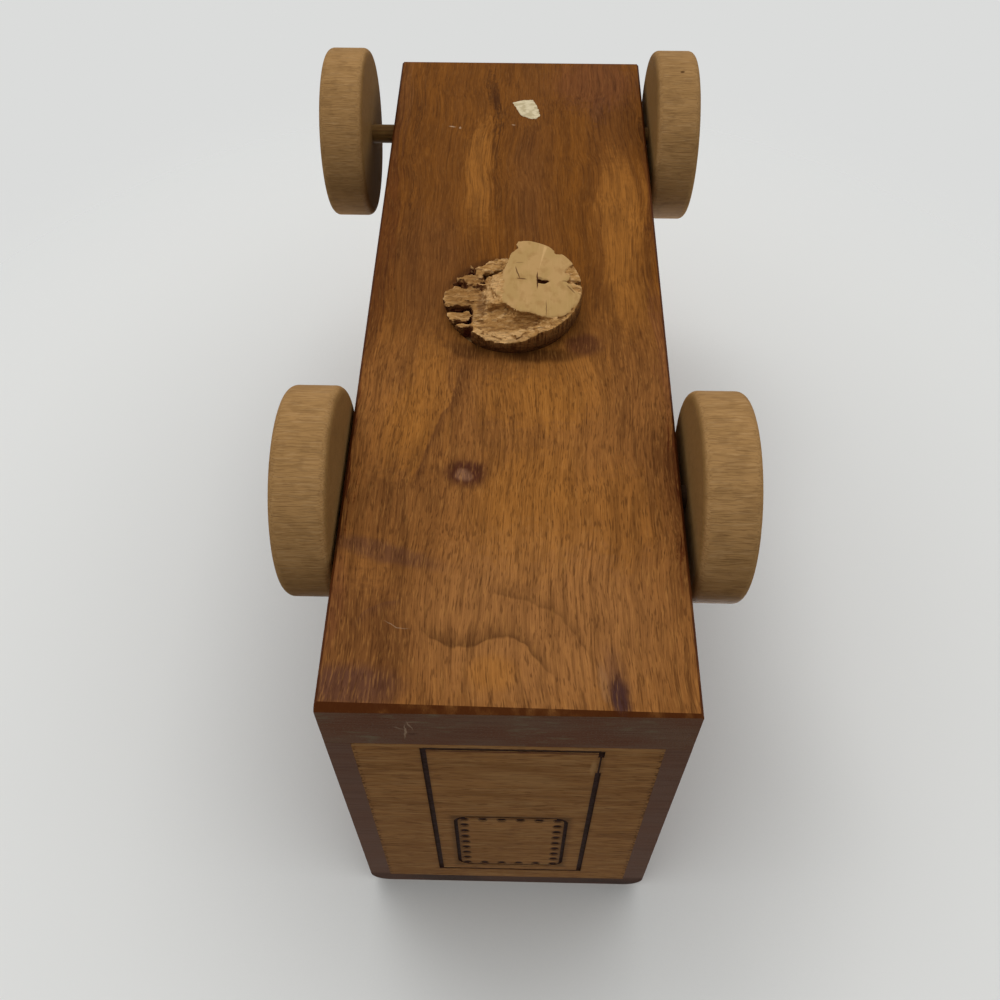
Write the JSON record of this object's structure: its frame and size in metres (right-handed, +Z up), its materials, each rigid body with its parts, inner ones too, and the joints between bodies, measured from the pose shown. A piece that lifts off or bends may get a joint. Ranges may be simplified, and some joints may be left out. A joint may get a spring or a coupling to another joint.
{
  "type": "armored truck coin bank",
  "caption": "Wooden toy armored truck that is a coin bank: board body on a thick base, slot in the roof, cork below and turned wheels on dowel axles.",
  "frame": {"origin": "the middle of the whole bank's box, on the ground under its wheels", "axes": "+Z up, the truck's nose faces -Y and its left side +X, and the axles lie along X"},
  "size_m": [0.1292, 0.263, 0.1559],
  "materials": {
    "base_wood": "oiled walnut-brown hardwood, satin",
    "body_wood": "oiled red-brown hardwood, satin",
    "panel_wood": "pale open-grained hardwood under clear oil, with burnt lines",
    "wheel_wood": "bare turned birch, worn smooth",
    "dowel_wood": "hardwood dowel, stained by handling",
    "cork": "dry crumbled natural cork"
  },
  "bodies": {
    "truck_body": {"base_board": "base_wood", "left_side": "body_wood", "right_side": "body_wood", "roof_board": "body_wood", "rear_panel": "panel_wood", "windshield_panel": "panel_wood", "hood_board": "panel_wood", "nose_panel": "panel_wood"},
    "cork": {"cork_stopper": "cork"},
    "front_axle": {"front_axle": "dowel_wood"},
    "front_wheels": {"front_left_wheel": "wheel_wood", "front_right_wheel": "wheel_wood"},
    "rear_axle": {"rear_axle": "dowel_wood"},
    "rear_wheels": {"rear_left_wheel": "wheel_wood", "rear_right_wheel": "wheel_wood"}
  },
  "joints": [
    {"name": "cork_pull", "type": "slide", "parent": "truck_body", "child": "cork", "axis": [0, 0, -1], "range_m": [0, 0.03]},
    {"name": "front_axle_play", "type": "slide", "parent": "truck_body", "child": "front_axle", "axis": [1, 0, 0], "range_m": [-0.0016, 0.0083]},
    {"name": "front_wheels_spin", "type": "hinge", "parent": "front_axle", "child": "front_wheels", "pos_m": [0.0032, -0.0971, 0.02857], "axis": [1, 0, 0], "continuous": true},
    {"name": "rear_axle_play", "type": "slide", "parent": "truck_body", "child": "rear_axle", "axis": [1, 0, 0], "range_m": [-0.0019, 0.0006]},
    {"name": "rear_wheels_spin", "type": "hinge", "parent": "rear_axle", "child": "rear_wheels", "pos_m": [0.0032, 0.0644, 0.02857], "axis": [1, 0, 0], "continuous": true}
  ]
}
